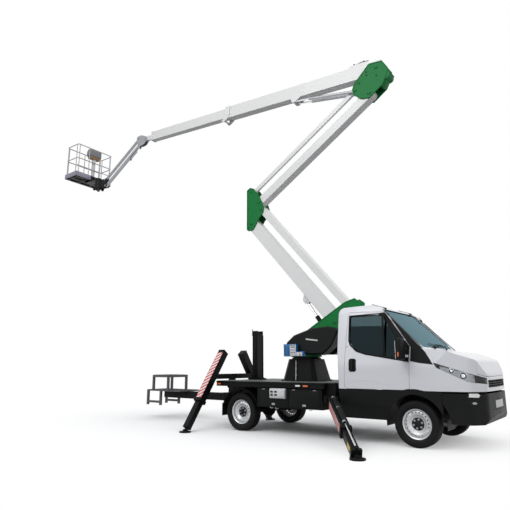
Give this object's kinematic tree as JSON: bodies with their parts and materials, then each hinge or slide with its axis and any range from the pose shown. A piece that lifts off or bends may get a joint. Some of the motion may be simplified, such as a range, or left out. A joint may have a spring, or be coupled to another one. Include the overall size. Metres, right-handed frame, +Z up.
{
  "type": "cherry picker truck",
  "caption": "Single-cab truck with a slewing two-arm mast, telescopic boom, jib and work basket, standing on its outriggers.",
  "frame": {"origin": "on the ground under the centre of the whole bounding box", "axes": "+X to the front of the truck, +Y to its left, +Z up"},
  "size_m": [11.997, 4.8998, 8.1508],
  "materials": {
    "arm_white": "gloss white paint",
    "bare_steel": "machined",
    "basket_grey": "satin",
    "black_paint": "satin black paint",
    "body_white": "gloss white paint",
    "chassis_black": "satin black chassis paint",
    "control_blue": "blue and white",
    "cover_black": "satin black moulding",
    "deck_grey": "worn dark grey",
    "engine_iron": "rough",
    "galvanised": "galvanised",
    "glass": "tinted clear",
    "lamp": "clear lens",
    "mast_green": "gloss green paint",
    "plastic_black": "grained black",
    "rod_chrome": "polished",
    "seat_fabric": "dark woven",
    "steel_rim": "silver painted steel",
    "support_stripe": "red and white reflective stripes on black",
    "trim_grey": "grained dark grey",
    "tyre": "black rubber"
  },
  "bodies": {
    "truck": {"chassis_frame": "chassis_black", "engine_block": "engine_iron", "front_axle": "chassis_black", "rear_axle": "chassis_black", "cab_shell": "body_white", "cab_glass": "glass", "front_bumper": "plastic_black", "front_grille": "plastic_black", "lower_cladding": "plastic_black", "headlamps": "lamp", "seats": "seat_fabric", "dashboard": "trim_grey", "deck": "deck_grey", "side_lockers": "black_paint", "boom_rest": "black_paint", "rear_step": "galvanised", "pedestal": "black_paint", "rear_supports": "support_stripe"},
    "bonnet": {"bonnet": "body_white"},
    "steering_wheel": {"steering_wheel": "trim_grey"},
    "door_left_panel": {"door_left": "body_white", "door_glass_left": "glass"},
    "knuckle_left": {"knuckle_left": "bare_steel"},
    "wheel_front_left": {"tyre_front_left": "tyre", "rim_front_left": "steel_rim"},
    "wheel_rear_left": {"tyre_rear_left": "tyre", "rim_rear_left": "steel_rim"},
    "rear_foot_left": {"rear_foot_left": "black_paint"},
    "front_leg_left": {"front_leg_left": "support_stripe"},
    "front_foot_left": {"front_foot_left": "black_paint"},
    "door_right_panel": {"door_right": "body_white", "door_glass_right": "glass"},
    "knuckle_right": {"knuckle_right": "bare_steel"},
    "wheel_front_right": {"tyre_front_right": "tyre", "rim_front_right": "steel_rim"},
    "wheel_rear_right": {"tyre_rear_right": "tyre", "rim_rear_right": "steel_rim"},
    "rear_foot_right": {"rear_foot_right": "black_paint"},
    "front_leg_right": {"front_leg_right": "support_stripe"},
    "front_foot_right": {"front_foot_right": "black_paint"},
    "slewing_turret": {"turret": "mast_green", "turret_cover": "cover_black", "control_box": "control_blue"},
    "lower_arm": {"lower_arm": "arm_white"},
    "lower_tie": {"lower_tie": "arm_white"},
    "lower_knuckle": {"lower_knuckle": "mast_green"},
    "upper_arm": {"upper_arm": "arm_white"},
    "upper_tie": {"upper_tie": "arm_white"},
    "upper_knuckle": {"upper_knuckle": "mast_green"},
    "boom": {"boom": "arm_white"},
    "boom_extension": {"boom_extension": "arm_white"},
    "tip_head": {"tip_head": "black_paint"},
    "jib": {"jib": "galvanised"},
    "jib_tie": {"jib_tie": "galvanised"},
    "jib_head": {"jib_head": "black_paint"},
    "basket": {"basket": "basket_grey"},
    "lower_ram_barrel": {"lower_ram_barrel": "black_paint"},
    "lower_ram_rod": {"lower_ram_rod": "rod_chrome"},
    "boom_ram_barrels": {"boom_ram_barrels": "black_paint"},
    "boom_ram_rods": {"boom_ram_rods": "rod_chrome"}
  },
  "joints": [
    {"name": "steer_left", "type": "hinge", "parent": "truck", "child": "knuckle_left", "pos_m": [4.97073, 0.64, 0.35], "axis": [0, 0, 1], "range_deg": [-35, 35]},
    {"name": "wheel_spin_front_left", "type": "hinge", "parent": "knuckle_left", "child": "wheel_front_left", "pos_m": [4.97073, 0.85, 0.35], "axis": [0, 1, 0], "continuous": true},
    {"name": "wheel_spin_rear_left", "type": "hinge", "parent": "truck", "child": "wheel_rear_left", "pos_m": [1.52073, 0.85, 0.35], "axis": [0, 1, 0], "continuous": true},
    {"name": "door_swing_left", "type": "hinge", "parent": "truck", "child": "door_left_panel", "pos_m": [4.91661, 1, 1.3], "axis": [0, 0, -1], "range_deg": [0, 70]},
    {"name": "steer_right", "type": "hinge", "parent": "truck", "child": "knuckle_right", "pos_m": [4.97073, -0.64, 0.35], "axis": [0, 0, 1], "range_deg": [-35, 35]},
    {"name": "wheel_spin_front_right", "type": "hinge", "parent": "knuckle_right", "child": "wheel_front_right", "pos_m": [4.97073, -0.85, 0.35], "axis": [0, 1, 0], "continuous": true},
    {"name": "wheel_spin_rear_right", "type": "hinge", "parent": "truck", "child": "wheel_rear_right", "pos_m": [1.52073, -0.85, 0.35], "axis": [0, 1, 0], "continuous": true},
    {"name": "door_swing_right", "type": "hinge", "parent": "truck", "child": "door_right_panel", "pos_m": [4.91661, -1, 1.3], "axis": [0, 0, 1], "range_deg": [0, 70]},
    {"name": "steering_turn", "type": "hinge", "parent": "truck", "child": "steering_wheel", "pos_m": [4.70073, 0.45, 1.275], "axis": [-0.8829, 0, 0.4695], "range_deg": [-420, 420]},
    {"name": "bonnet_lift", "type": "hinge", "parent": "truck", "child": "bonnet", "pos_m": [5.17658, 0, 1.48631], "axis": [0, -1, 0], "range_deg": [0, 60]},
    {"name": "slew", "type": "hinge", "parent": "truck", "child": "slewing_turret", "pos_m": [2.47073, 0, 1.4], "axis": [0, 0, 1], "continuous": true},
    {"name": "lower_arm_lift", "type": "hinge", "parent": "slewing_turret", "child": "lower_arm", "pos_m": [3.20073, 0, 2.07], "axis": [0, 1, 0], "range_deg": [-46, 21]},
    {"name": "lower_tie_swing", "type": "hinge", "parent": "slewing_turret", "child": "lower_tie", "pos_m": [3.47073, 0, 2.37], "axis": [0, 1, 0], "range_deg": [-46, 21]},
    {"name": "lower_knuckle_level", "type": "hinge", "parent": "lower_arm", "child": "lower_knuckle", "pos_m": [1.1407, 0, 4.43979], "axis": [0, 1, 0], "range_deg": [-21, 46]},
    {"name": "upper_arm_lift", "type": "hinge", "parent": "lower_knuckle", "child": "upper_arm", "pos_m": [1.3507, 0, 4.91979], "axis": [0, -1, 0], "range_deg": [-32, 38]},
    {"name": "upper_tie_swing", "type": "hinge", "parent": "lower_knuckle", "child": "upper_tie", "pos_m": [1.1407, 0, 5.21979], "axis": [0, -1, 0], "range_deg": [-32, 38]},
    {"name": "upper_knuckle_level", "type": "hinge", "parent": "upper_arm", "child": "upper_knuckle", "pos_m": [4.16965, 0, 6.70185], "axis": [0, -1, 0], "range_deg": [-38, 32]},
    {"name": "boom_lift", "type": "hinge", "parent": "upper_knuckle", "child": "boom", "pos_m": [4.34965, 0, 7.22185], "axis": [0, 1, 0], "range_deg": [-4.5, 75]},
    {"name": "boom_reach", "type": "slide", "parent": "boom", "child": "boom_extension", "axis": [-0.9969, 0, 0.0785], "range_m": [-2.8, 0]},
    {"name": "tip_level", "type": "hinge", "parent": "boom_extension", "child": "tip_head", "pos_m": [-2.878, 0, 7.79068], "axis": [0, 1, 0], "range_deg": [-75, 4.5]},
    {"name": "jib_lift", "type": "hinge", "parent": "tip_head", "child": "jib", "pos_m": [-3.148, 0, 7.68068], "axis": [0, 1, 0], "range_deg": [-48, 85]},
    {"name": "jib_tie_swing", "type": "hinge", "parent": "tip_head", "child": "jib_tie", "pos_m": [-3.184, 0, 7.88768], "axis": [0, 1, 0], "range_deg": [-48, 85]},
    {"name": "jib_head_level", "type": "hinge", "parent": "jib", "child": "jib_head", "pos_m": [-4.67449, 0, 6.72683], "axis": [0, 1, 0], "range_deg": [-85, 48]},
    {"name": "basket_turn", "type": "hinge", "parent": "jib_head", "child": "basket", "pos_m": [-5.10849, 0, 7.06083], "axis": [0, 0, 1], "range_deg": [-90, 90]},
    {"name": "lower_ram_swing", "type": "hinge", "parent": "slewing_turret", "child": "lower_ram_barrel", "pos_m": [3.04073, 0, 1.78], "axis": [0, 1, 0], "range_deg": [-45, 25]},
    {"name": "lower_ram_stroke", "type": "slide", "parent": "lower_ram_barrel", "child": "lower_ram_rod", "axis": [-0.5726, 0, 0.8198], "range_m": [-0.27, 0.13]},
    {"name": "boom_ram_swing", "type": "hinge", "parent": "upper_knuckle", "child": "boom_ram_barrels", "pos_m": [3.86965, 0, 6.86185], "axis": [0, 1, 0], "range_deg": [-6, 78]},
    {"name": "boom_ram_stroke", "type": "slide", "parent": "boom_ram_barrels", "child": "boom_ram_rods", "axis": [-0.9806, 0, 0.1958], "range_m": [-0.045, 0.75]},
    {"name": "front_leg_fold_left", "type": "hinge", "parent": "truck", "child": "front_leg_left", "pos_m": [3.57073, 1.05, 0.66], "axis": [0.7726, -0.6349, 0], "range_deg": [0, 112]},
    {"name": "front_foot_slide_left", "type": "slide", "parent": "front_leg_left", "child": "front_foot_left", "axis": [0.593, 0.7217, -0.3569], "range_m": [-0.45, 0]},
    {"name": "rear_foot_slide_left", "type": "slide", "parent": "truck", "child": "rear_foot_left", "axis": [0, 0.5864, -0.81], "range_m": [-0.45, 0]},
    {"name": "front_leg_fold_right", "type": "hinge", "parent": "truck", "child": "front_leg_right", "pos_m": [3.57073, -1.05, 0.66], "axis": [-0.7726, -0.6349, 0], "range_deg": [0, 112]},
    {"name": "front_foot_slide_right", "type": "slide", "parent": "front_leg_right", "child": "front_foot_right", "axis": [0.593, -0.7217, -0.3569], "range_m": [-0.45, 0]},
    {"name": "rear_foot_slide_right", "type": "slide", "parent": "truck", "child": "rear_foot_right", "axis": [0, -0.5864, -0.81], "range_m": [-0.45, 0]}
  ],
  "couplings": [
    {"joint": "steer_right", "follows": "steer_left", "ratio": 1},
    {"joint": "steering_turn", "follows": "steer_left", "ratio": 12},
    {"joint": "lower_tie_swing", "follows": "lower_arm_lift", "ratio": 1},
    {"joint": "lower_knuckle_level", "follows": "lower_arm_lift", "ratio": -1},
    {"joint": "upper_tie_swing", "follows": "upper_arm_lift", "ratio": 1},
    {"joint": "upper_knuckle_level", "follows": "upper_arm_lift", "ratio": -1},
    {"joint": "tip_level", "follows": "boom_lift", "ratio": -1},
    {"joint": "jib_tie_swing", "follows": "jib_lift", "ratio": 1},
    {"joint": "jib_head_level", "follows": "jib_lift", "ratio": -1},
    {"joint": "lower_ram_swing", "follows": "lower_arm_lift", "ratio": 0.905},
    {"joint": "lower_ram_stroke", "follows": "lower_arm_lift", "m_per_rad": 0.31},
    {"joint": "boom_ram_swing", "follows": "boom_lift", "ratio": 1.0239},
    {"joint": "boom_ram_stroke", "follows": "boom_lift", "m_per_rad": 0.55698}
  ]
}
